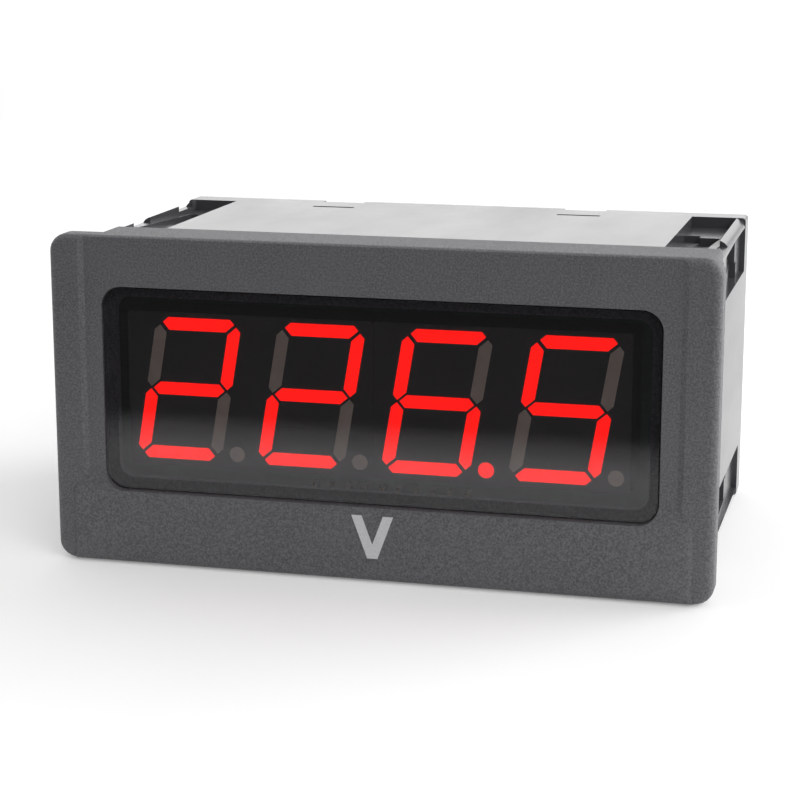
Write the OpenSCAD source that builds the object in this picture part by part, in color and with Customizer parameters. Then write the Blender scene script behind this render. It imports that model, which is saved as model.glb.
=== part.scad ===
// Digital panel meter for a 92 x 45 mm cut-out, with plug-in screw terminals at the rear.
// The origin is the centre of the flange's rear face, which lies on the panel.
// X runs to the right as the reader sees the meter, Y to the rear and Z up.

/* [Front bezel] */
// Width of the front flange
bezel_w = 96; // [95:0.5:98]
// Height of the front flange
bezel_h = 48; // [47.5:0.5:50]
// How far the side posts stand in front of the panel
post_depth = 3.6; // [3.4:0.1:4.2]
// How far the middle field lies behind the posts
field_step = 0.5; // [0.3:0.1:0.7]
// How far the lower apron stands in front of the posts
apron_rise = 0.4; // [0.2:0.1:0.8]
// Width of each side post
post_w = 4.5; // [4:0.1:5]
// Width of the lower apron
apron_w = 90.4; // [89:0.2:91]
// Height of the apron's shoulders above the flange's lower edge
apron_h = 12; // [10:0.2:12.5]
// Height of the soft ramp between the middle field and the apron
ramp_h = 3.6; // [3:0.1:5]
// Radius of the flange's four corners
bezel_corner_r = 2.6; // [2.6:0.1:3]
// Radius along the flange's front edge
bezel_edge_r = 1.3; // [0.8:0.1:1.6]

/* [Window] */
// Width of the window opening
window_w = 80.5; // [78:0.5:81]
// Height of the window opening
window_h = 29.8; // [28:0.2:30.4]
// Height of the window's centre above the meter's centre line
window_z = 1.8; // [1.6:0.1:2.4]
// Corner radius of the window
window_r = 3; // [2:0.5:4]
// Thickness of the window pane
pane_t = 2; // [1.5:0.1:2.2]

/* [Case] */
// Width of the case
case_w = 91.6; // [91:0.1:91.8]
// Height of the case
case_h = 44.6; // [44.2:0.1:44.8]
// Depth of the case behind the panel
case_d = 54.4; // [54:0.1:56]
// Depth of the bezel's collar behind the panel
collar_d = 17; // [16:0.5:18]
// Wall thickness of the collar and the case
wall = 1.8; // [1.6:0.1:2]

/* [Clamp channels] */
// Width of a channel between its inner edge and the corner rail
channel_w = 6.9; // [6.5:0.1:7.2]
// Width of the corner rail
rail_w = 1.4; // [1.2:0.1:1.6]
// Distance of a channel's rear wall from the panel
channel_rear = 49.6; // [49:0.1:50]
// Depth of the shelves in the upper and lower channels
shelf_depth = 1.7; // [1.4:0.1:1.8]
// Depth of the shelves in the side channels
side_shelf_depth = 0.8; // [0.6:0.1:0.8]
// Height of each tooth below its shelf
tooth_h = 1; // [0.6:0.1:1]

/* [Display] */
// Overall height of a digit
digit_h = 20.8; // [20:0.1:21]
// Distance from one digit to the next
digit_pitch = 18.24; // [18:0.01:18.3]
// Width of a segment
segment_w = 1.85; // [1.5:0.05:2.1]
// Slant of the digits in degrees
slant = 9.5; // [0:0.5:12]
// Height of an LED block
block_h = 22.5; // [22:0.1:24]

/* [Terminals] */
// Distance between two poles
pitch = 5.08; // [5:0.01:5.08]
// Poles of the measuring input
input_ways = 4; // [2:1:4]
// Poles of the supply
supply_ways = 2; // [2:1:2]
// Distance of the plugs' rear faces from the panel
plug_rear = 60; // [60:0.1:60.4]

/* [Hidden] */
$fn = 48;
eps = 0.01;

// Bezel
field_y = -(post_depth - field_step);
apron_y = -(post_depth + apron_rise);
apron_top = apron_h - bezel_h / 2;
pane_y = field_y + 0.15;
post_slope = 0.8;
ramp_low = apron_top - 1.4;
ramp_r = (pow(ramp_h, 2) + pow(field_step + apron_rise, 2)) / (4 * (field_step + apron_rise));
shoulder_w = 2.9;
shoulder_r = 1.8;
shoulder_edge = 0.8;
ledge_w = 1.6;
ledge_rear = 0.4;
collar_r = 0.6;

// Case
inner_w = case_w - 2 * wall;
inner_h = case_h - 2 * wall;
fit_gap = 0.1;
spigot_front = 9.3;
spigot_wall = 1.6;
channel_in_x = case_w / 2 - rail_w - channel_w;
channel_in_z = case_h / 2 - rail_w - channel_w;
pocket_depth = 3.6;
core_gap = 0.8;
corner_in_x = case_w / 2 - pocket_depth - core_gap;
corner_in_z = case_h / 2 - pocket_depth - core_gap;
rail_r = 1.75;
tab_from = 2.5;
tab_to = 5.7;
tab_reach = 1.9;
pocket_l = 4.6;
rim_front = channel_rear + wall;
snap_x = 20;
snap_w = 6.8;
snap_y = 46;
snap_l = 1;
notch_l = 2;
guide_w = 1.8;

// Corner data: side in X, side in Z, teeth of the flat channel, teeth of the side channel, rail notches
CORNERS = [
    [1, 1, [40.3, 24.3], [43.5, 27.5], [[18, 25]]],
    [-1, 1, [46, 30], [39, 23], [[41, 47.5], [21, 28]]],
    [1, -1, [46, 30], [39, 23], [[41, 47.5], [21, 28]]],
    [-1, -1, [40.3, 24.3], [43.5, 27.5], [[18, 25]]]
];

// Display
face_y = -0.6;
board_y = 7.6;
board_t = 1.6;
display_x = -0.5;
digit_z = 1.93;
stroke_x = 5.5;
stroke_z = (digit_h - segment_w) / 2;
bar_half = 5.35;
post_half = 4.57;
tip_shift = 0.2;
fill_depth = 1;
dot_x = 7.12;
dot_z = -9.2;
dot_r = 1.13;
block_w = 2 * digit_pitch - 0.08;

// Segments of the digits that are lit, in the order a b c d e f g, then the point
READING = [
    [1, 1, 0, 1, 1, 0, 1, 0],
    [1, 1, 0, 1, 1, 0, 1, 0],
    [1, 0, 1, 1, 1, 1, 1, 1],
    [1, 0, 1, 1, 0, 1, 1, 0]
];
// Each segment's centre in strokes, whether it stands upright, and which side its tips lean to
SEGMENTS = [
    [[0, 1], false, 1], [[1, 0.5], true, 1], [[1, -0.5], true, 1], [[0, -1], false, -1],
    [[-1, -0.5], true, -1], [[-1, 0.5], true, -1], [[0, 0], false, 0]
];

// Boards
main_top = -14.2;
main_front = 11;
main_rear = 50.8;
main_half_w = 41.2;
link_n = 10;
link_pitch = 2.54;
link_pin = 0.64;
link_z = main_top + 1.27;

// Terminals
input_x = 16;
supply_x = -24;
header_front = 42;
header_rear = 51.2;
header_top = -3;
plug_front = 44.2;
plug_split = 51.6;
nose_low = -11.6;
nose_high = -4.4;
block_low = -12.6;
block_high = -0.6;
pin_z = -8;
pin_w = 1;
pin_bend_y = 40.4;
screw_y = 56.4;
seat_z = -2.6;
head_r = 1.9;
head_h = 1.6;
shank_r = 1.25;
shank_low = -6.8;
cage_w = 3.8;
cage_l = 5;
cage_low = -11.9;
cage_h = 6;
cage_wall = 0.8;
cage_bore_r = 1.3;
cell_gap = 0.2;
wire_r = 1.5;
wire_z = -9.3;
sleeve_w = 2.4;
cut_gap = 0.4;

// ---------- shared shapes ----------

// A flat outline in X and Z, made solid between two depths
module slab(y0, y1) {
    translate([0, y1, 0]) rotate([90, 0, 0]) linear_extrude(y1 - y0) children();
}

// A side profile in Y and Z, made solid along X between two places
module rib(x0, x1) {
    rotate([90, 0, 90]) translate([0, 0, x0]) linear_extrude(x1 - x0) children();
}

// A box given by its limits in X, Y and Z
module block(x, y, z) {
    translate([x[0], y[0], z[0]]) cube([x[1] - x[0], y[1] - y[0], z[1] - z[0]]);
}

module round_rect(w, h, r) {
    square([w, h - 2 * r], center = true);
    square([w - 2 * r, h], center = true);
    for (x = [-1, 1], z = [-1, 1]) translate([x * (w / 2 - r), z * (h / 2 - r)]) circle(r);
}

// ---------- front bezel ----------

// A plate in front of the panel with round corners and a rounded front edge
module soft_plate(w, h, t, corner, edge) {
    slab(edge - t, 0) round_rect(w, h, corner);
    slab(-t, 0) square([w - 2 * edge, h - 2 * corner], center = true);
    slab(-t, 0) square([w - 2 * corner, h - 2 * edge], center = true);
    for (z = [-1, 1])
        translate([corner - w / 2, edge - t, z * (h / 2 - edge)])
            rotate([0, 90, 0]) cylinder(r = edge, h = w - 2 * corner);
    for (x = [-1, 1])
        translate([x * (w / 2 - edge), edge - t, corner - h / 2]) cylinder(r = edge, h = h - 2 * corner);
    for (x = [-1, 1], z = [-1, 1])
        translate([x * (w / 2 - corner), 0, z * (h / 2 - corner)])
            rotate([90, 0, 0]) rotate_extrude() intersection() {
                union() {
                    square([corner - edge, t]);
                    square([corner, t - edge]);
                    translate([corner - edge, t - edge]) circle(edge);
                }
                square([corner, t]);
            }
}

// Section of the middle field and the apron, joined by a soft ramp of two equal arcs
module field_profile() {
    low = -bezel_h / 2;
    mid = ramp_low + ramp_h / 2;
    top = ramp_low + ramp_h;
    translate([apron_y, low + bezel_edge_r]) square([2, ramp_low - low - bezel_edge_r]);
    translate([apron_y + bezel_edge_r, low]) square([2 - bezel_edge_r, bezel_edge_r + eps]);
    translate([apron_y + bezel_edge_r, low + bezel_edge_r]) circle(bezel_edge_r);
    intersection() {
        translate([apron_y + ramp_r, ramp_low]) circle(ramp_r, $fn = 96);
        translate([apron_y, ramp_low - eps]) square([2, ramp_h / 2 + eps]);
    }
    difference() {
        translate([apron_y, mid]) square([2, ramp_h / 2]);
        translate([field_y - ramp_r, top]) circle(ramp_r, $fn = 96);
    }
}

// The apron with its shoulders, which lie over the side posts and have round edges
module apron() {
    post_in = bezel_w / 2 - post_w;
    rib(-post_in, post_in) field_profile();
    intersection() {
        translate([0, 0, apron_top - apron_h])
            soft_plate(apron_w, 2 * apron_h, -apron_y, shoulder_r, shoulder_edge);
        difference() {
            rib(-apron_w, apron_w) {
                translate([apron_y, ramp_low]) square([2, ramp_h]);
                field_profile();
            }
            block([shoulder_w - apron_w / 2, apron_w / 2 - shoulder_w], [apron_y - 1, 1], [ramp_low, bezel_h]);
        }
    }
}

module front_bezel() {
    color([0.2, 0.2, 0.21]) difference() {
        union() {
            difference() {
                soft_plate(bezel_w, bezel_h, post_depth, bezel_corner_r, bezel_edge_r);
                translate([0, 0, -bezel_h]) linear_extrude(2 * bezel_h) polygon([
                    [post_w - bezel_w / 2 - 1, -post_depth - 1], [post_w - bezel_w / 2, -post_depth],
                    [post_w + post_slope - bezel_w / 2, field_y], [bezel_w / 2 - post_w - post_slope, field_y],
                    [bezel_w / 2 - post_w, -post_depth], [bezel_w / 2 - post_w + 1, -post_depth - 1]]);
            }
            apron();
            slab(-eps, collar_d) round_rect(case_w, case_h, collar_r);
        }
        slab(pane_y - 2, pane_y + pane_t) translate([0, window_z]) round_rect(window_w, window_h, window_r);
        slab(-3, ledge_rear + eps) translate([0, window_z])
            round_rect(window_w - 2 * ledge_w, window_h - 2 * ledge_w, window_r - ledge_w / 2);
        slab(ledge_rear, collar_d + 1) round_rect(inner_w, inner_h, 0.5);
    }
}

module window_filter() {
    color([0.1, 0.09, 0.1, 0.6]) slab(pane_y, pane_y + pane_t) translate([0, window_z])
        round_rect(window_w - 0.4, window_h - 0.4, window_r - 0.2);
}

// ---------- display ----------

function lean(p) = [p[0] + p[1] * tan(slant), p[1]];

// Outline of one segment: a bar with pointed ends, its tips moved a little to the outer side
function segment_outline(s) =
    let (half = s[1] ? post_half : bar_half, h = segment_w / 2, d = s[2] * tip_shift,
         bar = [[-half, d], [-half + h - d, h], [half - h + d, h], [half, d],
                [half - h - d, -h], [-half + h + d, -h]])
    [for (p = bar) lean([s[0][0] * stroke_x + (s[1] ? p[1] : p[0]),
                         s[0][1] * stroke_z + (s[1] ? p[0] : p[1])])];

function digit_x(k) = display_x + (k - 1.5) * digit_pitch;

// The fillings of digits first to last that are lit or dark
module fillings(first, last, states) {
    for (k = [first:last]) translate([digit_x(k), digit_z]) {
        for (s = [0:6]) if (search(READING[k][s], states) != []) polygon(segment_outline(SEGMENTS[s]));
        if (search(READING[k][7], states) != []) translate([dot_x, dot_z]) circle(dot_r);
    }
}

module led_block(first) {
    x = display_x + (first - 1) * digit_pitch;
    color([0.13, 0.13, 0.13]) difference() {
        slab(face_y, board_y) translate([x, window_z]) round_rect(block_w, block_h, 0.4);
        slab(face_y - 1, face_y + fill_depth) fillings(first, first + 1, [0, 1]);
    }
}

module display_left() { led_block(0); }
module display_right() { led_block(2); }

module segments_lit() {
    color("red") slab(face_y, face_y + fill_depth) fillings(0, 3, [1]);
}

module segments_dark() {
    color([0.3, 0.27, 0.25]) slab(face_y, face_y + fill_depth) fillings(0, 3, [0]);
}

// Two rows of pins under each LED block
module display_pin_rows(r, y0, y1) {
    for (b = [0, 2], k = [-4:4], z = [-1, 1])
        translate([display_x + (b - 1) * digit_pitch + k * 2.54, y1, window_z + z * 9])
            rotate([90, 0, 0]) cylinder(r = r, h = y1 - y0);
}

module display_pins() { color("silver") display_pin_rows(0.25, board_y, board_y + 3); }

// Places along X of the pins between the two boards
module link_places() {
    for (k = [0:link_n - 1]) translate([(k - (link_n - 1) / 2) * link_pitch, 0, 0]) children();
}

module display_board() {
    hole = link_pin / 2 + 0.1;
    color([0.05, 0.3, 0.15]) difference() {
        slab(board_y, board_y + board_t) round_rect(inner_w - 0.4, inner_h - 0.6, 1);
        display_pin_rows(0.4, board_y - 1, board_y + board_t + 1);
        link_places() block([-hole, hole], [board_y - 1, board_y + 3], [link_z - hole, link_z + hole]);
    }
}

// ---------- case ----------

// Side profile of what a channel takes away: shelves that end in teeth, each followed by a ramp
module channel_profile(teeth, shelf, tooth) {
    last = len(teeth) - 1;
    steps = [for (k = [0:last]) each [
        [teeth[k], -shelf], [teeth[k], -shelf - tooth],
        k < last ? [teeth[k + 1] + 3, -shelf] : [collar_d, -0.3]]];
    polygon(concat([[channel_rear, 1], [channel_rear, -shelf]], steps, [[collar_d, 1]]));
}

// One channel, cut below Z = 0, from its inner edge at X = 0 to the rail
module clamp_channel(teeth, shelf) {
    tabs = [for (t = teeth) t - tab_reach];
    rib(-eps, tab_from) channel_profile(teeth, shelf, tooth_h);
    rib(tab_from - eps, tab_to) channel_profile(tabs, shelf, tooth_h);
    rib(tab_to - eps, channel_w) channel_profile([teeth[0]], shelf, 0);
    for (t = tabs) block([tab_from, tab_to], [t - pocket_l, t], [-pocket_depth, 0]);
}

// What is taken away at one corner of the case: a flat channel, a side channel and the rail's rounding
module corner_cuts(c) {
    mirror([c[0] < 0 ? 1 : 0, 0, 0]) mirror([0, 0, c[1] < 0 ? 1 : 0]) {
        translate([channel_in_x, 0, case_h / 2]) clamp_channel(c[2], shelf_depth);
        translate([case_w / 2, 0, channel_in_z]) rotate([0, 90, 0]) mirror([1, 0, 0])
            clamp_channel(c[3], side_shelf_depth);
        translate([case_w / 2 - rail_r, 0, case_h / 2 - rail_r]) slab(collar_d, channel_rear)
            difference() {
                square(rail_r + 1);
                circle(rail_r);
            }
        for (n = c[4]) block([case_w / 2 - rail_w, case_w / 2 + 1], n, [case_h / 2 - 0.9, case_h / 2 + 1]);
    }
}

// The hollow of the case, narrower at its corners where the channels lie
module hollow_outline() {
    square([2 * (channel_in_x - wall), inner_h], center = true);
    square([inner_w, 2 * (channel_in_z - wall)], center = true);
    square([2 * corner_in_x, 2 * corner_in_z], center = true);
}

module board_guides() {
    for (x = [-1, 1], z = [main_top + 0.2, main_top - board_t - 0.2 - guide_w])
        translate([x * (corner_in_x - guide_w / 2 + 0.1), (collar_d + rim_front) / 2, z + guide_w / 2])
            cube([guide_w + 0.2, rim_front - collar_d, guide_w], center = true);
}

module case_shell() {
    edge = 0.5;
    color([0.33, 0.33, 0.35]) difference() {
        union() {
            difference() {
                union() {
                    slab(collar_d, case_d) round_rect(case_w, case_h, collar_r);
                    slab(spigot_front, collar_d + 1) round_rect(inner_w - 2 * fit_gap, inner_h - 2 * fit_gap, 0.5);
                }
                slab(collar_d, rim_front + eps) hollow_outline();
                slab(spigot_front - 1, collar_d + eps)
                    square([inner_w - 2 * spigot_wall, inner_h - 2 * spigot_wall], center = true);
                slab(rim_front, case_d + 1) square([inner_w, inner_h], center = true);
            }
            board_guides();
        }
        for (c = CORNERS) corner_cuts(c);
        // Snap windows behind the rim, and the notches in the rim itself
        for (x = [-snap_x, snap_x], z = [-1, 1]) translate([x, 0, z * case_h / 2]) {
            translate([0, snap_y + snap_l / 2, 0]) cube([snap_w, snap_l, 3 * wall], center = true);
            translate([0, case_d, 0]) cube([snap_w, 2 * notch_l, 3 * wall], center = true);
        }
        // Broken edges round the rear rim
        for (z = [0, 1]) mirror([0, 0, z]) rib(-case_w, case_w)
            polygon([[case_d + 1, case_h / 2 - edge - 1], [case_d + 1, case_h / 2 + 1], [case_d - edge - 1, case_h / 2 + 1]]);
        for (x = [0, 1]) mirror([x, 0, 0]) translate([0, 0, -case_h]) linear_extrude(2 * case_h)
            polygon([[case_w / 2 - edge - 1, case_d + 1], [case_w / 2 + 1, case_d + 1], [case_w / 2 + 1, case_d - edge - 1]]);
    }
}

module rear_cover() {
    plate_y = rim_front + 0.2;
    plate_t = 2;
    tongue_t = 1.4;
    tongue_w = snap_w - 0.4;
    top = inner_h / 2 - 0.15;
    color([0.3, 0.3, 0.32]) difference() {
        union() {
            slab(plate_y, plate_y + plate_t) round_rect(inner_w - 0.3, inner_h - 0.3, 0.5);
            // Snap tongues with a barb in each window and a heel in each notch
            for (x = [-snap_x, snap_x], z = [0, 1]) translate([x, 0, 0]) mirror([0, 0, z])
                rib(-tongue_w / 2, tongue_w / 2) {
                    polygon([[snap_y - 1.6, top - tongue_t], [plate_y + 1, top - tongue_t],
                             [plate_y + 1, top], [snap_y - 1.6, top]]);
                    polygon([[snap_y + 0.1, top - 0.1], [snap_y + 0.6, top + 1.3],
                             [snap_y + snap_l - 0.1, top + 1.3], [snap_y + snap_l - 0.1, top - 0.1]]);
                    polygon([[case_d - notch_l + 0.1, top - 1], [plate_y + plate_t, top - 1],
                             [plate_y + plate_t, top + 1.5], [case_d - notch_l + 0.1, top + 1.5]]);
                }
            // Stiffening bars inside
            for (z = [2, 17.5]) block([-34, 34], [plate_y - 2.4, plate_y + eps], [z, z + 1.2]);
        }
        for (p = [[input_x, input_ways], [supply_x, supply_ways]]) {
            half = p[1] * pitch / 2 + cut_gap;
            block([p[0] - half, p[0] + half], [plate_y - 4, plate_y + 4], [block_low - cut_gap, block_high + cut_gap]);
        }
        for (x = [-9:9], z = [4.8, 11.4]) translate([x * 3.6, plate_y, z])
            block([-0.75, 0.75], [-4, 4], [0, 4.6]);
    }
}

// ---------- boards and what they carry ----------

module main_board() {
    hole = link_pin / 2 + 0.1;
    color([0.05, 0.3, 0.15]) difference() {
        block([-main_half_w, main_half_w], [main_front, main_rear], [main_top - board_t, main_top]);
        link_places() block([-hole, hole], [12.27 - hole, 12.27 + hole], [main_top - 3, main_top + 1]);
        for (p = [[input_x, input_ways], [supply_x, supply_ways]]) poles(p)
            block([-0.6, 0.6], [pin_bend_y - 0.1, pin_bend_y + 1.1], [main_top - 3, main_top + 1]);
    }
}

module link_strip() {
    color([0.1, 0.1, 0.1]) difference() {
        block([-12.7, 12.7], [main_front, main_front + 2.54], [main_top, main_top + 2.54]);
        link_places() {
            block([-link_pin / 2, link_pin / 2], [main_front - 1, 12.27 + link_pin / 2],
                  [link_z - link_pin / 2, link_z + link_pin / 2]);
            block([-link_pin / 2, link_pin / 2], [12.27 - link_pin / 2, 12.27 + link_pin / 2],
                  [main_top - 1, link_z]);
        }
    }
}

module link_pins() {
    h = link_pin / 2;
    color("gold") link_places() {
        block([-h, h], [board_y - 0.9, 12.27 + h], [link_z - h, link_z + h]);
        block([-h, h], [12.27 - h, 12.27 + h], [main_top - board_t - 1, link_z]);
    }
}

// A chip body with a bevelled edge and its rows of legs, standing on Z = 0
module chip(w, l, t, legs, leg_pitch) {
    difference() {
        translate([0, 0, t / 2 + 0.1]) cube([w, l, t - 0.2], center = true);
        translate([-w / 2 + 1.2, -l / 2 + 1.2, t - 0.2]) cylinder(r = 0.5, h = 1);
    }
    for (k = [0:legs - 1], x = [-1, 1])
        translate([x * (w / 2 + 0.45), (k - (legs - 1) / 2) * leg_pitch, t / 4])
            cube([1, leg_pitch * 0.4, t / 2], center = true);
}

module microcontroller() {
    color([0.12, 0.12, 0.12]) translate([20, board_y + board_t, 4]) rotate([-90, 0, 0]) chip(10, 10, 1.6, 12, 0.8);
}

module converter_chip() {
    color([0.12, 0.12, 0.12]) translate([24, 24, main_top]) chip(7.5, 10.3, 2.4, 8, 1.27);
}

module optocoupler() {
    color([0.92, 0.92, 0.9]) translate([1.4, 38, main_top]) chip(6.4, 4.8, 3.5, 2, 2.54);
}

// Transformer: two E cores, a bobbin on the middle leg and the taped winding
module transformer_place() { translate([-23, 26, main_top]) children(); }

module transformer_core() {
    color([0.2, 0.2, 0.22]) transformer_place() slab(-3, 3) difference() {
        translate([-10, 1.4]) square([20, 18]);
        for (x = [-1, 1]) translate([x * 5.05 - 2.35, 4.4]) square([4.7, 12]);
    }
}

module transformer_winding() {
    color([0.9, 0.75, 0.2]) transformer_place() translate([0, 0, 5.8]) linear_extrude(9.2) difference() {
        round_rect(14.2, 16.4, 2.4);
        square([7, 8.2], center = true);
    }
}

module transformer_bobbin() {
    color([0.15, 0.15, 0.16]) transformer_place() difference() {
        union() {
            translate([0, 0, 5]) linear_extrude(10.8) square([6.8, 8], center = true);
            for (z = [4.7, 15.2]) translate([0, 0, z]) linear_extrude(0.9) round_rect(14.4, 17.6, 1);
            for (y = [-8.2, 6]) block([-7, 7], [y, y + 2.2], [0, 5]);
        }
        block([-2.75, 2.75], [-3.05, 3.05], [1, 19]);
    }
}

// A can with its crimp groove and pressure cross, standing on Z = 0
module capacitor(r, h) {
    difference() {
        rotate_extrude() difference() {
            square([r, h]);
            translate([r + 0.25, 1.8]) circle(0.6);
        }
        for (a = [0, 90]) rotate([0, 0, a]) translate([0, 0, h]) cube([r, 0.4, 0.5], center = true);
    }
}

module smoothing_capacitor() {
    color([0.1, 0.12, 0.2]) translate([-5.5, 24, main_top]) capacitor(5.5, 17);
}

module output_capacitors() {
    color([0.1, 0.12, 0.2]) for (y = [19.5, 28]) translate([6.5, y, main_top]) capacitor(3.4, 11.5);
}

module bridge_rectifier() {
    color([0.12, 0.12, 0.12]) translate([-9.5, 37.5, main_top]) chip(8.4, 6.4, 3.2, 2, 5.08);
}

module supply_fuse() {
    color([0.55, 0.15, 0.1]) translate([-35.2, 38, main_top]) rotate_extrude()
        polygon([[0, 0], [3.9, 0], [4.2, 0.6], [4.2, 7], [3.8, 7.6], [0, 7.6]]);
}

module input_resistors() {
    color([0.75, 0.7, 0.55]) for (x = [9.5, 13.8, 18.1, 22.4]) translate([x, 0, main_top + 1.6]) {
        translate([0, 31.4, 0]) rotate([-90, 0, 0]) cylinder(r = 1.1, h = 6.2);
        translate([0, 30, 0]) rotate([-90, 0, 0]) cylinder(r = 0.3, h = 9);
        for (y = [30.3, 38.7]) translate([0, y, -1.6]) cylinder(r = 0.3, h = 1.6);
    }
}

// ---------- terminals ----------

// The poles of one connector, given as its place along X and its number of ways
module poles(p) {
    for (k = [0:p[1] - 1]) translate([p[0] + (k - (p[1] - 1) / 2) * pitch, 0, 0]) children();
}

// Fixed socket on the main board: an open shroud with keyways over every pole
module header(p) {
    half = p[1] * pitch / 2;
    color([0.12, 0.35, 0.2]) difference() {
        block([p[0] - half - 1.4, p[0] + half + 1.4], [header_front, header_rear], [main_top, header_top]);
        block([p[0] - half, p[0] + half], [header_front + 1.6, header_rear + 1], [nose_low - 0.3, nose_high + 0.3]);
        poles(p) {
            block([-1.1, 1.1], [header_front + 1.6, header_rear + 1], [nose_high, header_top + 1]);
            block([-pin_w / 2, pin_w / 2], [header_front - 1, header_front + 2], [pin_z - pin_w / 2, pin_z + pin_w / 2]);
        }
    }
}

module header_pins(p) {
    h = pin_w / 2;
    color("silver") poles(p) {
        block([-h, h], [pin_bend_y, 50.5], [pin_z - h, pin_z + h]);
        block([-h, h], [pin_bend_y, pin_bend_y + pin_w], [main_top - board_t - 1.4, pin_z]);
    }
}

// Plug with a nose in the socket and a taller block behind the rear cover, one cell for each pole
module plug(p) {
    half = p[1] * pitch / 2;
    color([0.12, 0.42, 0.22]) difference() {
        union() {
            block([p[0] - half + 0.3, p[0] + half - 0.3], [plug_front, plug_split + 1], [nose_low, nose_high]);
            rib(p[0] - half, p[0] + half)
                polygon([[plug_split, block_low], [plug_rear - 0.4, block_low], [plug_rear, block_low + 0.4],
                         [plug_rear, -3.4], [plug_rear - 0.9, block_high], [53.2, block_high], [plug_split, -2.4]]);
            poles(p) block([-0.7, 0.7], [plug_front + 0.4, plug_split + 1], [nose_high - 1, nose_high + 0.7]);
        }
        poles(p) {
            translate([0, screw_y, seat_z]) cylinder(r = head_r + 0.2, h = 4);
            translate([0, screw_y, seat_z - 2]) cylinder(r = shank_r + 0.25, h = 3);
            block([-cage_w / 2 - cell_gap, cage_w / 2 + cell_gap],
                  [screw_y - cage_l / 2 - cell_gap, screw_y + cage_l / 2 + cell_gap], [cage_low - cell_gap, -3.7]);
            translate([0, plug_rear + 1, wire_z]) rotate([90, 0, 0]) cylinder(r = wire_r, h = 3);
            block([-1.25, 1.25], [plug_front + 0.7, 54], [pin_z - 1.25, pin_z + 1.25]);
            block([-0.8, 0.8], [plug_front - 1, plug_front + 2], [pin_z - 0.8, pin_z + 0.8]);
        }
        // Grooves between the poles on the rear face
        for (k = [1:p[1] - 1]) translate([p[0] - half + k * pitch, plug_rear, 0])
            cube([0.4, 0.8, 40], center = true);
    }
}

// Spring sleeve on the pin and the flat tongue that the wire is clamped against
module contacts(p) {
    s = sleeve_w / 2;
    color("goldenrod") poles(p) {
        difference() {
            block([-s, s], [plug_front + 0.9, 51.4], [pin_z - s, pin_z + s]);
            block([-0.65, 0.65], [plug_front, 52], [pin_z - 0.65, pin_z + 0.65]);
        }
        block([-0.9, 0.9], [51, 58.4], [pin_z + 0.4, pin_z + 1.1]);
    }
}

// Place of pole number k, counted through the input plug and then the supply plug
function pole_x(k) = k <= input_ways
    ? input_x + (k - 1 - (input_ways - 1) / 2) * pitch
    : supply_x + (k - input_ways - 1 - (supply_ways - 1) / 2) * pitch;

module terminal_screw(k) {
    color("silver") translate([pole_x(k), screw_y, 0]) {
        translate([0, 0, shank_low]) cylinder(r = shank_r, h = seat_z - shank_low);
        difference() {
            translate([0, 0, seat_z]) rotate_extrude()
                polygon([[0, 0], [head_r, 0], [head_r, head_h - 0.3], [head_r - 0.3, head_h], [0, head_h]]);
            translate([0, 0, seat_z + head_h]) cube([2 * head_r + 1, 0.6, 1.6], center = true);
        }
    }
}

module clamp_cage(k) {
    inner_h = cage_h - 2 * cage_wall;
    color([0.75, 0.76, 0.78]) translate([pole_x(k), screw_y, cage_low]) difference() {
        translate([-cage_w / 2, -cage_l / 2, 0]) cube([cage_w, cage_l, cage_h]);
        translate([0, 0, cage_wall + inner_h / 2]) cube([cage_w - 1.2, cage_l + 2, inner_h], center = true);
        translate([0, 0, cage_h - cage_wall - 1]) cylinder(r = cage_bore_r, h = 4);
    }
}

module input_header() { header([input_x, input_ways]); }
module input_pins() { header_pins([input_x, input_ways]); }
module supply_header() { header([supply_x, supply_ways]); }
module supply_pins() { header_pins([supply_x, supply_ways]); }
module input_plug() { plug([input_x, input_ways]); }
module input_contacts() { contacts([input_x, input_ways]); }
module supply_plug() { plug([supply_x, supply_ways]); }
module supply_contacts() { contacts([supply_x, supply_ways]); }

front_bezel();
window_filter();
display_left();
display_right();
segments_lit();
segments_dark();
display_pins();
display_board();
case_shell();
rear_cover();
main_board();
link_strip();
link_pins();
microcontroller();
converter_chip();
optocoupler();
transformer_core();
transformer_winding();
transformer_bobbin();
smoothing_capacitor();
output_capacitors();
bridge_rectifier();
supply_fuse();
input_resistors();
input_header();
input_pins();
supply_header();
supply_pins();
input_plug();
input_contacts();
supply_plug();
supply_contacts();
for (k = [1:input_ways + supply_ways]) {
    terminal_screw(k);
    clamp_cage(k);
}
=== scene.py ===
import math

import bmesh
import bpy
from mathutils import Matrix, Vector


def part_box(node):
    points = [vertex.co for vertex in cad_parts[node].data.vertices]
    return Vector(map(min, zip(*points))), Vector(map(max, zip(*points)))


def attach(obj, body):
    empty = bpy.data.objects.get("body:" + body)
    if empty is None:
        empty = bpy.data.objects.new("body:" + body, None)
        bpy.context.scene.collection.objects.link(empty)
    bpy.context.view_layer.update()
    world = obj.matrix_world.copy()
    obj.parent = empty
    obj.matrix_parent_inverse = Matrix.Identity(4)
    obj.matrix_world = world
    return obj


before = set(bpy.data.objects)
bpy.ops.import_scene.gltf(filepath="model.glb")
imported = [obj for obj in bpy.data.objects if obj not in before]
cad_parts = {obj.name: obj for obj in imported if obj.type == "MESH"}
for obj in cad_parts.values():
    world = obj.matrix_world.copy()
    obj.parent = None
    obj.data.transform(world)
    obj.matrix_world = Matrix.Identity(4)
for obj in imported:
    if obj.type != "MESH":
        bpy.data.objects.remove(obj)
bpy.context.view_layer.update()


# ---------------------------------------------------------------- front bezel
# The bezel is one moulding: a flange that covers the panel's edge, two side posts, a low apron
# for the unit mark, and a collar that passes through the cut-out. It is charcoal polycarbonate,
# and its tool was spark-eroded, so every outer face has the same fine matt grain.

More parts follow.
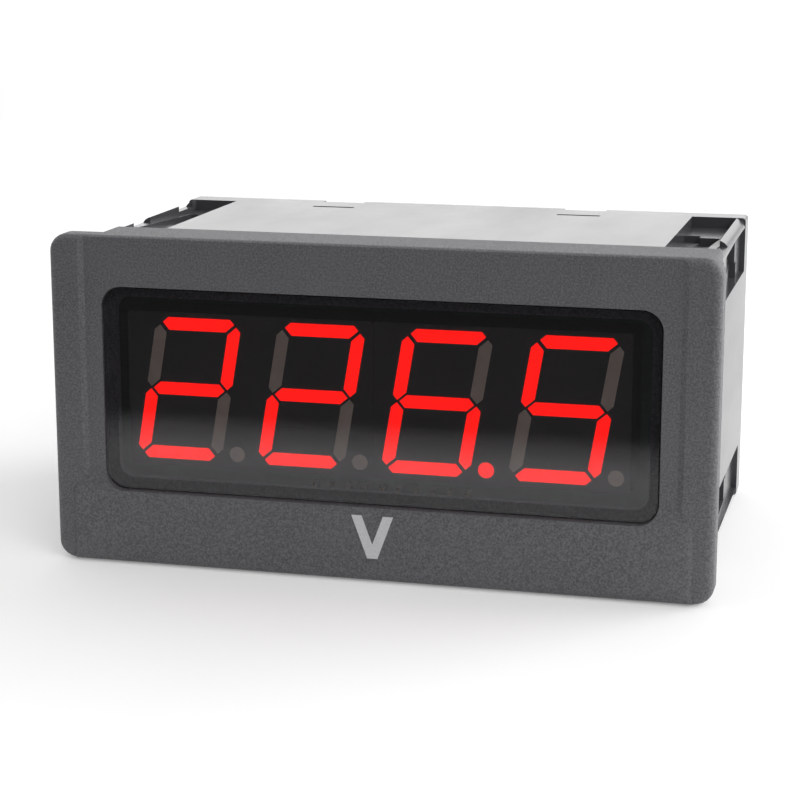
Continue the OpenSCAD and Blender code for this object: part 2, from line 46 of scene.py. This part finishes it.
CHARCOAL = (0.070, 0.070, 0.076)
CHARCOAL_HIGH = (0.150, 0.150, 0.160)
PLASTIC_IOR = 1.56
GRAIN_SIZE = 0.00026
GRAIN_DEPTH = 0.00009
CLOUD_SIZE = 0.011


def new_finish(name):
    finish = bpy.data.materials.new(name)
    finish.use_nodes = True
    tree = finish.node_tree
    tree.nodes.clear()
    output = tree.nodes.new("ShaderNodeOutputMaterial")
    skin = tree.nodes.new("ShaderNodeBsdfPrincipled")
    tree.links.new(skin.outputs["BSDF"], output.inputs["Surface"])
    return finish, tree, skin, output


def add_noise(tree, size, detail=2.0, stretch=(1.0, 1.0, 1.0)):
    """Noise whose lumps are about size metres across, longer where stretch is under 1."""
    place = tree.nodes.new("ShaderNodeTexCoord")
    spread = tree.nodes.new("ShaderNodeMapping")
    spread.inputs["Scale"].default_value = stretch
    noise = tree.nodes.new("ShaderNodeTexNoise")
    noise.inputs["Scale"].default_value = 1.0 / size
    noise.inputs["Detail"].default_value = detail
    tree.links.new(place.outputs["Object"], spread.inputs["Vector"])
    tree.links.new(spread.outputs["Vector"], noise.inputs["Vector"])
    return noise.outputs["Fac"]


def add_range(tree, source, low, high, start=0.3, end=0.7):
    """A value that runs from low to high while source runs from start to end."""
    span = tree.nodes.new("ShaderNodeMapRange")
    span.inputs["From Min"].default_value = start
    span.inputs["From Max"].default_value = end
    span.inputs["To Min"].default_value = low
    span.inputs["To Max"].default_value = high
    tree.links.new(source, span.inputs["Value"])
    return span.outputs["Result"]


def add_blend(tree, share, first, second):
    """A colour between first and second; either may be a colour or another node's output."""
    mix = tree.nodes.new("ShaderNodeMix")
    mix.data_type = "RGBA"
    for socket, colour in ((mix.inputs[6], first), (mix.inputs[7], second)):
        if isinstance(colour, tuple):
            socket.default_value = (*colour, 1.0)
        else:
            tree.links.new(colour, socket)
    tree.links.new(share, mix.inputs[0])
    return mix.outputs[2]


def add_bump(tree, height, depth, under=None):
    bump = tree.nodes.new("ShaderNodeBump")
    bump.inputs["Distance"].default_value = depth
    bump.inputs["Strength"].default_value = 1.0
    tree.links.new(height, bump.inputs["Height"])
    if under is not None:
        tree.links.new(under, bump.inputs["Normal"])
    return bump.outputs["Normal"]


def dress(node, finish):
    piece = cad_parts[node]
    if not piece.material_slots:
        piece.data.materials.append(finish)
    for slot in piece.material_slots:
        slot.material = finish


def eroded_charcoal():
    finish, tree, skin, _ = new_finish("bezel_grain")
    grain = add_noise(tree, GRAIN_SIZE, detail=3.0)
    cloud = add_noise(tree, CLOUD_SIZE, detail=3.0)
    speckle = add_blend(tree, add_range(tree, grain, 0.0, 1.0, 0.36, 0.66), CHARCOAL, CHARCOAL_HIGH)
    tone = add_blend(tree, add_range(tree, cloud, 0.0, 0.22), speckle, CHARCOAL_HIGH)
    tree.links.new(tone, skin.inputs["Base Color"])
    tree.links.new(add_range(tree, grain, 0.62, 0.46), skin.inputs["Roughness"])
    tree.links.new(add_bump(tree, grain, GRAIN_DEPTH), skin.inputs["Normal"])
    skin.inputs["IOR"].default_value = PLASTIC_IOR
    return finish


dress("front_bezel", eroded_charcoal())


# ---------------------------------------------------------------- unit mark
# The V is the unit of the reading. It is screen printed on the apron in light grey ink, a film
# a few hundredths of a millimetre thick with a slightly uneven edge and a satin surface.

MARK_TOP = -0.01425
MARK_LOW = -0.0205
MARK_CROTCH = -0.01845
MARK_HALF = 0.00305
MARK_ARM = 0.00150
MARK_FOOT = 0.00075
INK_FILM = 0.00003
INK_GREY = (0.62, 0.62, 0.64)
INK_PALE = (0.72, 0.72, 0.74)


def print_film(name, outline, front_y):
    """A flat print with a closed outline of (x, z) points, lying on the face at front_y."""
    shape = bmesh.new()
    back = [shape.verts.new((x, front_y + INK_FILM, z)) for x, z in outline]
    front = [shape.verts.new((x, front_y - INK_FILM, z)) for x, z in outline]
    shape.faces.new(back)
    shape.faces.new(list(reversed(front)))
    for i, vert in enumerate(back):
        n = (i + 1) % len(back)
        shape.faces.new((front[i], front[n], back[n], vert))
    bmesh.ops.recalc_face_normals(shape, faces=shape.faces)
    mesh = bpy.data.meshes.new(name)
    shape.to_mesh(mesh)
    shape.free()
    piece = bpy.data.objects.new(name, mesh)
    bpy.context.scene.collection.objects.link(piece)
    return piece


def light_grey_ink():
    finish, tree, skin, _ = new_finish("light_grey_ink")
    wear = add_noise(tree, 0.0004, detail=4.0)
    tree.links.new(
        add_blend(tree, add_range(tree, wear, 0.0, 1.0), INK_GREY, INK_PALE), skin.inputs["Base Color"])
    tree.links.new(add_range(tree, wear, 0.42, 0.6), skin.inputs["Roughness"])
    tree.links.new(add_bump(tree, add_noise(tree, GRAIN_SIZE), GRAIN_DEPTH / 2), skin.inputs["Normal"])
    return finish


apron_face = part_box("front_bezel")[0].y
unit_mark = print_film(
    "unit_mark",
    [(-MARK_HALF, MARK_TOP), (-MARK_FOOT, MARK_LOW), (MARK_FOOT, MARK_LOW), (MARK_HALF, MARK_TOP),
     (MARK_HALF - MARK_ARM, MARK_TOP), (0.0, MARK_CROTCH), (MARK_ARM - MARK_HALF, MARK_TOP)],
    apron_face)
unit_mark.data.materials.append(light_grey_ink())
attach(unit_mark, "meter")


# ---------------------------------------------------------------- window filter
# The window is a flat pane of smoked acrylic, 2 mm thick, polished on both faces and bedded on
# the ledge inside the bezel. It darkens everything behind it and lets the red of the LEDs through.

SMOKE = (0.62, 0.60, 0.63)
SMOKE_SHADOW = (0.50, 0.49, 0.51)
ACRYLIC_IOR = 1.49


def smoked_acrylic():
    finish, tree, skin, output = new_finish("smoked_acrylic")
    flow = add_noise(tree, 0.018, detail=1.0)
    tree.links.new(
        add_blend(tree, add_range(tree, flow, 0.0, 1.0), SMOKE, tuple(0.97 * c for c in SMOKE)),
        skin.inputs["Base Color"])
    tree.links.new(add_range(tree, flow, 0.02, 0.035), skin.inputs["Roughness"])
    skin.inputs["IOR"].default_value = ACRYLIC_IOR
    skin.inputs["Transmission Weight"].default_value = 1.0
    # Light that falls through the pane onto the display is only dimmed, not bent
    clear = tree.nodes.new("ShaderNodeBsdfTransparent")
    clear.inputs["Color"].default_value = (*SMOKE_SHADOW, 1.0)
    rays = tree.nodes.new("ShaderNodeLightPath")
    soft = tree.nodes.new("ShaderNodeMath")
    soft.operation = "MAXIMUM"
    tree.links.new(rays.outputs["Is Shadow Ray"], soft.inputs[0])
    tree.links.new(rays.outputs["Is Diffuse Ray"], soft.inputs[1])
    pick = tree.nodes.new("ShaderNodeMixShader")
    tree.links.new(soft.outputs["Value"], pick.inputs["Fac"])
    tree.links.new(skin.outputs["BSDF"], pick.inputs[1])
    tree.links.new(clear.outputs["BSDF"], pick.inputs[2])
    tree.links.new(pick.outputs["Shader"], output.inputs["Surface"])
    return finish


dress("window_filter", smoked_acrylic())


# ---------------------------------------------------------------- display
# Two LED blocks of two digits each stand on the display board. Their housings are moulded black
# and the front is inked matt black round the segments.

BLACK_INK = (0.016, 0.016, 0.016)
WORN_INK = (0.026, 0.025, 0.024)


def matt_black_ink():
    finish, tree, skin, _ = new_finish("matt_black_ink")
    speck = add_noise(tree, 0.00035, detail=3.0)
    tree.links.new(
        add_blend(tree, add_range(tree, speck, 0.0, 1.0), BLACK_INK, WORN_INK), skin.inputs["Base Color"])
    tree.links.new(add_range(tree, speck, 0.5, 0.62), skin.inputs["Roughness"])
    tree.links.new(add_bump(tree, speck, 0.00001), skin.inputs["Normal"])
    return finish


black_ink = matt_black_ink()
dress("display_left", black_ink)
dress("display_right", black_ink)


# The segments are wells filled with cloudy epoxy that spreads the light of the chip below it.
# Those of the reading glow an even red, and the others show the epoxy's own grey-brown.

GLOW_RED = (1.0, 0.004, 0.001)
GLOW_DEEP = (0.93, 0.003, 0.001)
GLOW_STRENGTH = 1.9
EPOXY = (0.62, 0.52, 0.41)
EPOXY_PALE = (0.72, 0.60, 0.47)
EPOXY_SWELL = 0.00002


def glowing_epoxy():
    finish, tree, skin, _ = new_finish("glowing_epoxy")
    cloud = add_noise(tree, 0.0016, detail=2.0)
    glow = add_blend(tree, add_range(tree, cloud, 0.0, 1.0), GLOW_RED, GLOW_DEEP)
    tree.links.new(glow, skin.inputs["Emission Color"])
    tree.links.new(glow, skin.inputs["Base Color"])
    skin.inputs["Emission Strength"].default_value = GLOW_STRENGTH
    tree.links.new(add_range(tree, cloud, 0.4, 0.5), skin.inputs["Roughness"])
    tree.links.new(add_bump(tree, cloud, EPOXY_SWELL), skin.inputs["Normal"])
    return finish


def cloudy_epoxy():
    finish, tree, skin, _ = new_finish("cloudy_epoxy")
    cloud = add_noise(tree, 0.0012, detail=3.0)
    tree.links.new(
        add_blend(tree, add_range(tree, cloud, 0.0, 1.0), EPOXY, EPOXY_PALE), skin.inputs["Base Color"])
    tree.links.new(add_range(tree, cloud, 0.4, 0.5), skin.inputs["Roughness"])
    tree.links.new(add_bump(tree, cloud, EPOXY_SWELL), skin.inputs["Normal"])
    return finish


dress("segments_lit", glowing_epoxy())
dress("segments_dark", cloudy_epoxy())


# ---------------------------------------------------------------- boards and pins
# Both boards are glass-cloth laminate under green solder mask. The weave shows faintly through
# the mask. Pins are drawn wire, tinned in the sockets and gold flashed between the boards.

MASK_GREEN = (0.012, 0.10, 0.04)
MASK_PALE = (0.02, 0.15, 0.06)
WEAVE_SIZE = 0.0006


def solder_mask():
    finish, tree, skin, _ = new_finish("solder_mask")
    warp = add_noise(tree, WEAVE_SIZE, detail=1.0, stretch=(0.12, 1.0, 1.0))
    weft = add_noise(tree, WEAVE_SIZE, detail=1.0, stretch=(1.0, 0.12, 0.12))
    share = tree.nodes.new("ShaderNodeMath")
    share.operation = "MULTIPLY"
    tree.links.new(warp, share.inputs[0])
    tree.links.new(weft, share.inputs[1])
    weave = add_range(tree, share.outputs["Value"], 0.0, 1.0, 0.12, 0.4)
    tree.links.new(add_blend(tree, weave, MASK_GREEN, MASK_PALE), skin.inputs["Base Color"])
    tree.links.new(add_range(tree, weave, 0.28, 0.4, 0.0, 1.0), skin.inputs["Roughness"])
    tree.links.new(add_bump(tree, weave, 0.00001), skin.inputs["Normal"])
    return finish


def drawn_metal(name, colour, roughness):
    """Metal with the fine scratches and dull patches of drawing, stamping and plating."""
    finish, tree, skin, _ = new_finish(name)
    scratch = add_noise(tree, 0.00025, detail=4.0, stretch=(1.0, 0.2, 1.0))
    patch = add_noise(tree, 0.0012, detail=2.0)
    dull = tuple(0.82 * c for c in colour)
    tree.links.new(add_blend(tree, add_range(tree, patch, 0.0, 1.0), colour, dull), skin.inputs["Base Color"])
    tree.links.new(add_range(tree, scratch, roughness, roughness + 0.16), skin.inputs["Roughness"])
    tree.links.new(add_bump(tree, scratch, 0.00001), skin.inputs["Normal"])
    skin.inputs["Metallic"].default_value = 1.0
    return finish


mask_green = solder_mask()
tin = drawn_metal("bright_tin", (0.72, 0.72, 0.70), 0.26)
dress("display_board", mask_green)
dress("main_board", mask_green)
dress("display_pins", tin)
dress("input_pins", tin)
dress("supply_pins", tin)
dress("link_pins", drawn_metal("gold_flash", (0.86, 0.62, 0.26), 0.22))


# ---------------------------------------------------------------- what the boards carry
# The converter and the controller are chips in black moulded packages, and the optocoupler that
# separates input from supply is a white one. Strips and bobbins are moulded in glass-filled nylon.

def moulded(name, colour, roughness, grain=0.0004, depth=0.00001, pale=1.25):
    """Plain moulded plastic: an even colour with faint flow marks, and a fine grain."""
    finish, tree, skin, _ = new_finish(name)
    flow = add_noise(tree, 0.004, detail=3.0)
    skin_grain = add_noise(tree, grain, detail=2.0)
    paler = tuple(min(1.0, pale * c) for c in colour)
    tree.links.new(add_blend(tree, add_range(tree, flow, 0.0, 1.0), colour, paler), skin.inputs["Base Color"])
    tree.links.new(add_range(tree, skin_grain, roughness, roughness + 0.12), skin.inputs["Roughness"])
    tree.links.new(add_bump(tree, skin_grain, depth), skin.inputs["Normal"])
    return finish


package_black = moulded("package_black", (0.022, 0.022, 0.023), 0.45)
for node in ("microcontroller", "converter_chip", "bridge_rectifier", "link_strip", "transformer_bobbin"):
    dress(node, package_black)
dress("optocoupler", moulded("package_white", (0.68, 0.68, 0.64), 0.4, pale=1.06))

# The transformer is a pair of ground ferrite cores through a bobbin, its winding closed with
# yellow polyester tape. The capacitors wear printed sleeves, and the resistors a beige lacquer.

dress("transformer_core", moulded("ground_ferrite", (0.045, 0.045, 0.05), 0.5, grain=0.0002, depth=0.00003))
dress("transformer_winding", moulded("winding_tape", (0.62, 0.40, 0.05), 0.3, pale=1.12))
dress("smoothing_capacitor", moulded("capacitor_sleeve", (0.016, 0.026, 0.07), 0.28))
dress("output_capacitors", moulded("small_capacitor_sleeve", (0.02, 0.03, 0.08), 0.28))
dress("supply_fuse", moulded("fuse_body", (0.28, 0.045, 0.03), 0.42))
dress("input_resistors", moulded("resistor_lacquer", (0.48, 0.35, 0.20), 0.35, pale=1.1))


# ---------------------------------------------------------------- case and rear cover
# The case is a moulded box that plugs into the collar. Clamp channels with rows of teeth run
# along its corners. It is the bezel's charcoal plastic from a smooth tool, so it has a soft gloss.

CASE_CHARCOAL = (0.060, 0.060, 0.064)
CASE_PALE = (0.075, 0.075, 0.08)
FLOW_SIZE = 0.014
FLOW_SWELL = 0.00012


def smooth_charcoal():
    finish, tree, skin, _ = new_finish("case_gloss")
    flow = add_noise(tree, FLOW_SIZE, detail=3.0, stretch=(1.0, 0.35, 1.0))
    fine = add_noise(tree, 0.0005, detail=3.0)
    tree.links.new(
        add_blend(tree, add_range(tree, flow, 0.0, 1.0), CASE_CHARCOAL, CASE_PALE),
        skin.inputs["Base Color"])
    tree.links.new(add_range(tree, flow, 0.18, 0.25), skin.inputs["Roughness"])
    swell = add_bump(tree, flow, FLOW_SWELL)
    tree.links.new(add_bump(tree, fine, 0.000006, swell), skin.inputs["Normal"])
    skin.inputs["IOR"].default_value = PLASTIC_IOR
    return finish


case_gloss = smooth_charcoal()
dress("case_shell", case_gloss)
dress("rear_cover", case_gloss)


# ---------------------------------------------------------------- terminals
# The fixed headers and the plugs that push into them are moulded in green polyamide, satin and
# slightly translucent. Inside each pole are a brass spring sleeve and a plated cage and screw.

terminal_green = moulded("terminal_green", (0.012, 0.16, 0.055), 0.42, grain=0.00025, depth=0.00001)
for node in ("input_header", "supply_header", "input_plug", "supply_plug"):
    dress(node, terminal_green)
brass = drawn_metal("stamped_brass", (0.80, 0.58, 0.26), 0.28)
dress("input_contacts", brass)
dress("supply_contacts", brass)
zinc = drawn_metal("zinc_plate", (0.70, 0.71, 0.72), 0.25)
stamped = drawn_metal("stamped_steel", (0.58, 0.58, 0.58), 0.34)
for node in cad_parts:
    if node.startswith("terminal_screw"):
        dress(node, zinc)
    if node.startswith("clamp_cage"):
        dress(node, stamped)


# ---------------------------------------------------------------- table
# The meter stands on a pale matt table, on its flange's lower edge and the rear edge of its case,
# so the table lies a little aslant in the meter's own frame. Its front edge fades away.

flange_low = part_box("front_bezel")[0].z
case_low, case_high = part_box("case_shell")
TABLE_HALF = 1.6
TABLE_FRONT = 0.11
TABLE_GAP = 0.0001
FADE = 0.03
BROKEN_EDGE = 0.0015
TABLE_WHITE = (0.90, 0.90, 0.90)
TABLE_PALE = (0.915, 0.915, 0.915)
BACKGROUND_LIFT = 0.22
rest_slope = math.atan2(case_low.z - flange_low, case_high.y - BROKEN_EDGE)


def pale_table():
    finish, tree, skin, output = new_finish("pale_table")
    fleck = add_noise(tree, 0.02, detail=2.0)
    tree.links.new(
        add_blend(tree, add_range(tree, fleck, 0.0, 1.0), TABLE_WHITE, TABLE_PALE),
        skin.inputs["Base Color"])
    skin.inputs["Roughness"].default_value = 0.9
    skin.inputs["Specular IOR Level"].default_value = 0.1
    # Whoever looks at the table, also in a mirror or through glass, sees it a little lighter
    rays = tree.nodes.new("ShaderNodeLightPath")
    lift = rays.outputs["Is Camera Ray"]
    for kind in ("Is Glossy Ray", "Is Transmission Ray"):
        either = tree.nodes.new("ShaderNodeMath")
        either.operation = "MAXIMUM"
        tree.links.new(lift, either.inputs[0])
        tree.links.new(rays.outputs[kind], either.inputs[1])
        lift = either.outputs["Value"]
    tree.links.new(add_range(tree, lift, 0.0, BACKGROUND_LIFT, 0.0, 1.0), skin.inputs["Emission Strength"])
    skin.inputs["Emission Color"].default_value = (1.0, 1.0, 1.0, 1.0)
    place = tree.nodes.new("ShaderNodeTexCoord")
    split = tree.nodes.new("ShaderNodeSeparateXYZ")
    tree.links.new(place.outputs["Object"], split.inputs["Vector"])
    gone = add_range(tree, split.outputs["Y"], 1.0, 0.0, -TABLE_FRONT, FADE - TABLE_FRONT)
    clear = tree.nodes.new("ShaderNodeBsdfTransparent")
    pick = tree.nodes.new("ShaderNodeMixShader")
    tree.links.new(gone, pick.inputs["Fac"])
    tree.links.new(skin.outputs["BSDF"], pick.inputs[1])
    tree.links.new(clear.outputs["BSDF"], pick.inputs[2])
    tree.links.new(pick.outputs["Shader"], output.inputs["Surface"])
    return finish


table_mesh = bpy.data.meshes.new("table")
table_mesh.from_pydata(
    [(-TABLE_HALF, -TABLE_FRONT, 0), (TABLE_HALF, -TABLE_FRONT, 0),
     (TABLE_HALF, TABLE_HALF, 0), (-TABLE_HALF, TABLE_HALF, 0)], [], [(0, 1, 2, 3)])
table = bpy.data.objects.new("table", table_mesh)
bpy.context.scene.collection.objects.link(table)
table.matrix_world = (
    Matrix.Translation((0, 0, flange_low - TABLE_GAP)) @ Matrix.Rotation(rest_slope, 4, "X"))
table_mesh.materials.append(pale_table())


# ---------------------------------------------------------------- studio
# White walls stand all round, with a dark side behind the camera. Soft boxes stand at the meter's
# right, one to its rear and one to its front, and a wide one stands far behind it.

FRONT_DARK = 0.15
DARK_UP_TO = -0.75
WHITE_FROM = -0.1

world = bpy.data.worlds.new("white_studio")
bpy.context.scene.world = world
world.use_nodes = True
sky = world.node_tree
sky.nodes.clear()
sky_out = sky.nodes.new("ShaderNodeOutputWorld")
sky_light = sky.nodes.new("ShaderNodeBackground")
sky.links.new(sky_light.outputs["Background"], sky_out.inputs["Surface"])
heading = sky.nodes.new("ShaderNodeTexCoord")
heading_parts = sky.nodes.new("ShaderNodeSeparateXYZ")
sky.links.new(heading.outputs["Generated"], heading_parts.inputs["Vector"])
studio_level = add_range(sky, heading_parts.outputs["Y"], FRONT_DARK, 1.0, DARK_UP_TO, WHITE_FROM)
sky_rays = sky.nodes.new("ShaderNodeLightPath")
seen = sky.nodes.new("ShaderNodeMath")
seen.operation = "MAXIMUM"
sky.links.new(sky_rays.outputs["Is Camera Ray"], seen.inputs[0])
sky.links.new(studio_level, seen.inputs[1])
sky.links.new(seen.outputs["Value"], sky_light.inputs["Strength"])


def soft_lamp(name, place, aim, width, height, radiance):
    """A flat soft box of even brightness, seen from place as it shines towards aim."""
    light = bpy.data.lights.new(name, "AREA")
    light.shape = "RECTANGLE"
    light.size = width
    light.size_y = height
    light.energy = radiance * math.pi * width * height
    lamp = bpy.data.objects.new(name, light)
    bpy.context.scene.collection.objects.link(lamp)
    lamp.location = place
    lamp.rotation_mode = "QUATERNION"
    lamp.rotation_quaternion = (Vector(aim) - Vector(place)).to_track_quat("-Z", "Y")


soft_lamp("rear_right_box", (0.62, 0.34, 0.22), (0.04, 0.0, 0.0), 0.5, 0.6, 4.0)
soft_lamp("front_right_box", (0.66, -0.74, 0.62), (0.0, 0.0, 0.0), 0.8, 0.6, 3.0)
soft_lamp("rear_box", (-0.28, 1.15, 0.34), (0.0, 0.03, 0.0), 1.2, 0.5, 0.8)


# ---------------------------------------------------------------- camera
# The viewer stands in front of the meter, a little to its right and above it.

EYE = Vector((0.0761, -0.2850, 0.0682))
SIGHT = Vector((-0.2423, 0.9450, -0.2202))
LENS = 96.6

lens = bpy.data.cameras.new("viewer")
lens.sensor_width = 36.0
lens.lens = LENS
lens.clip_start = 0.01
viewer = bpy.data.objects.new("viewer", lens)
bpy.context.scene.collection.objects.link(viewer)
viewer.location = EYE
viewer.rotation_mode = "QUATERNION"
viewer.rotation_quaternion = SIGHT.to_track_quat("-Z", "Y")
bpy.context.scene.camera = viewer
bpy.context.scene.view_settings.view_transform = "Standard"
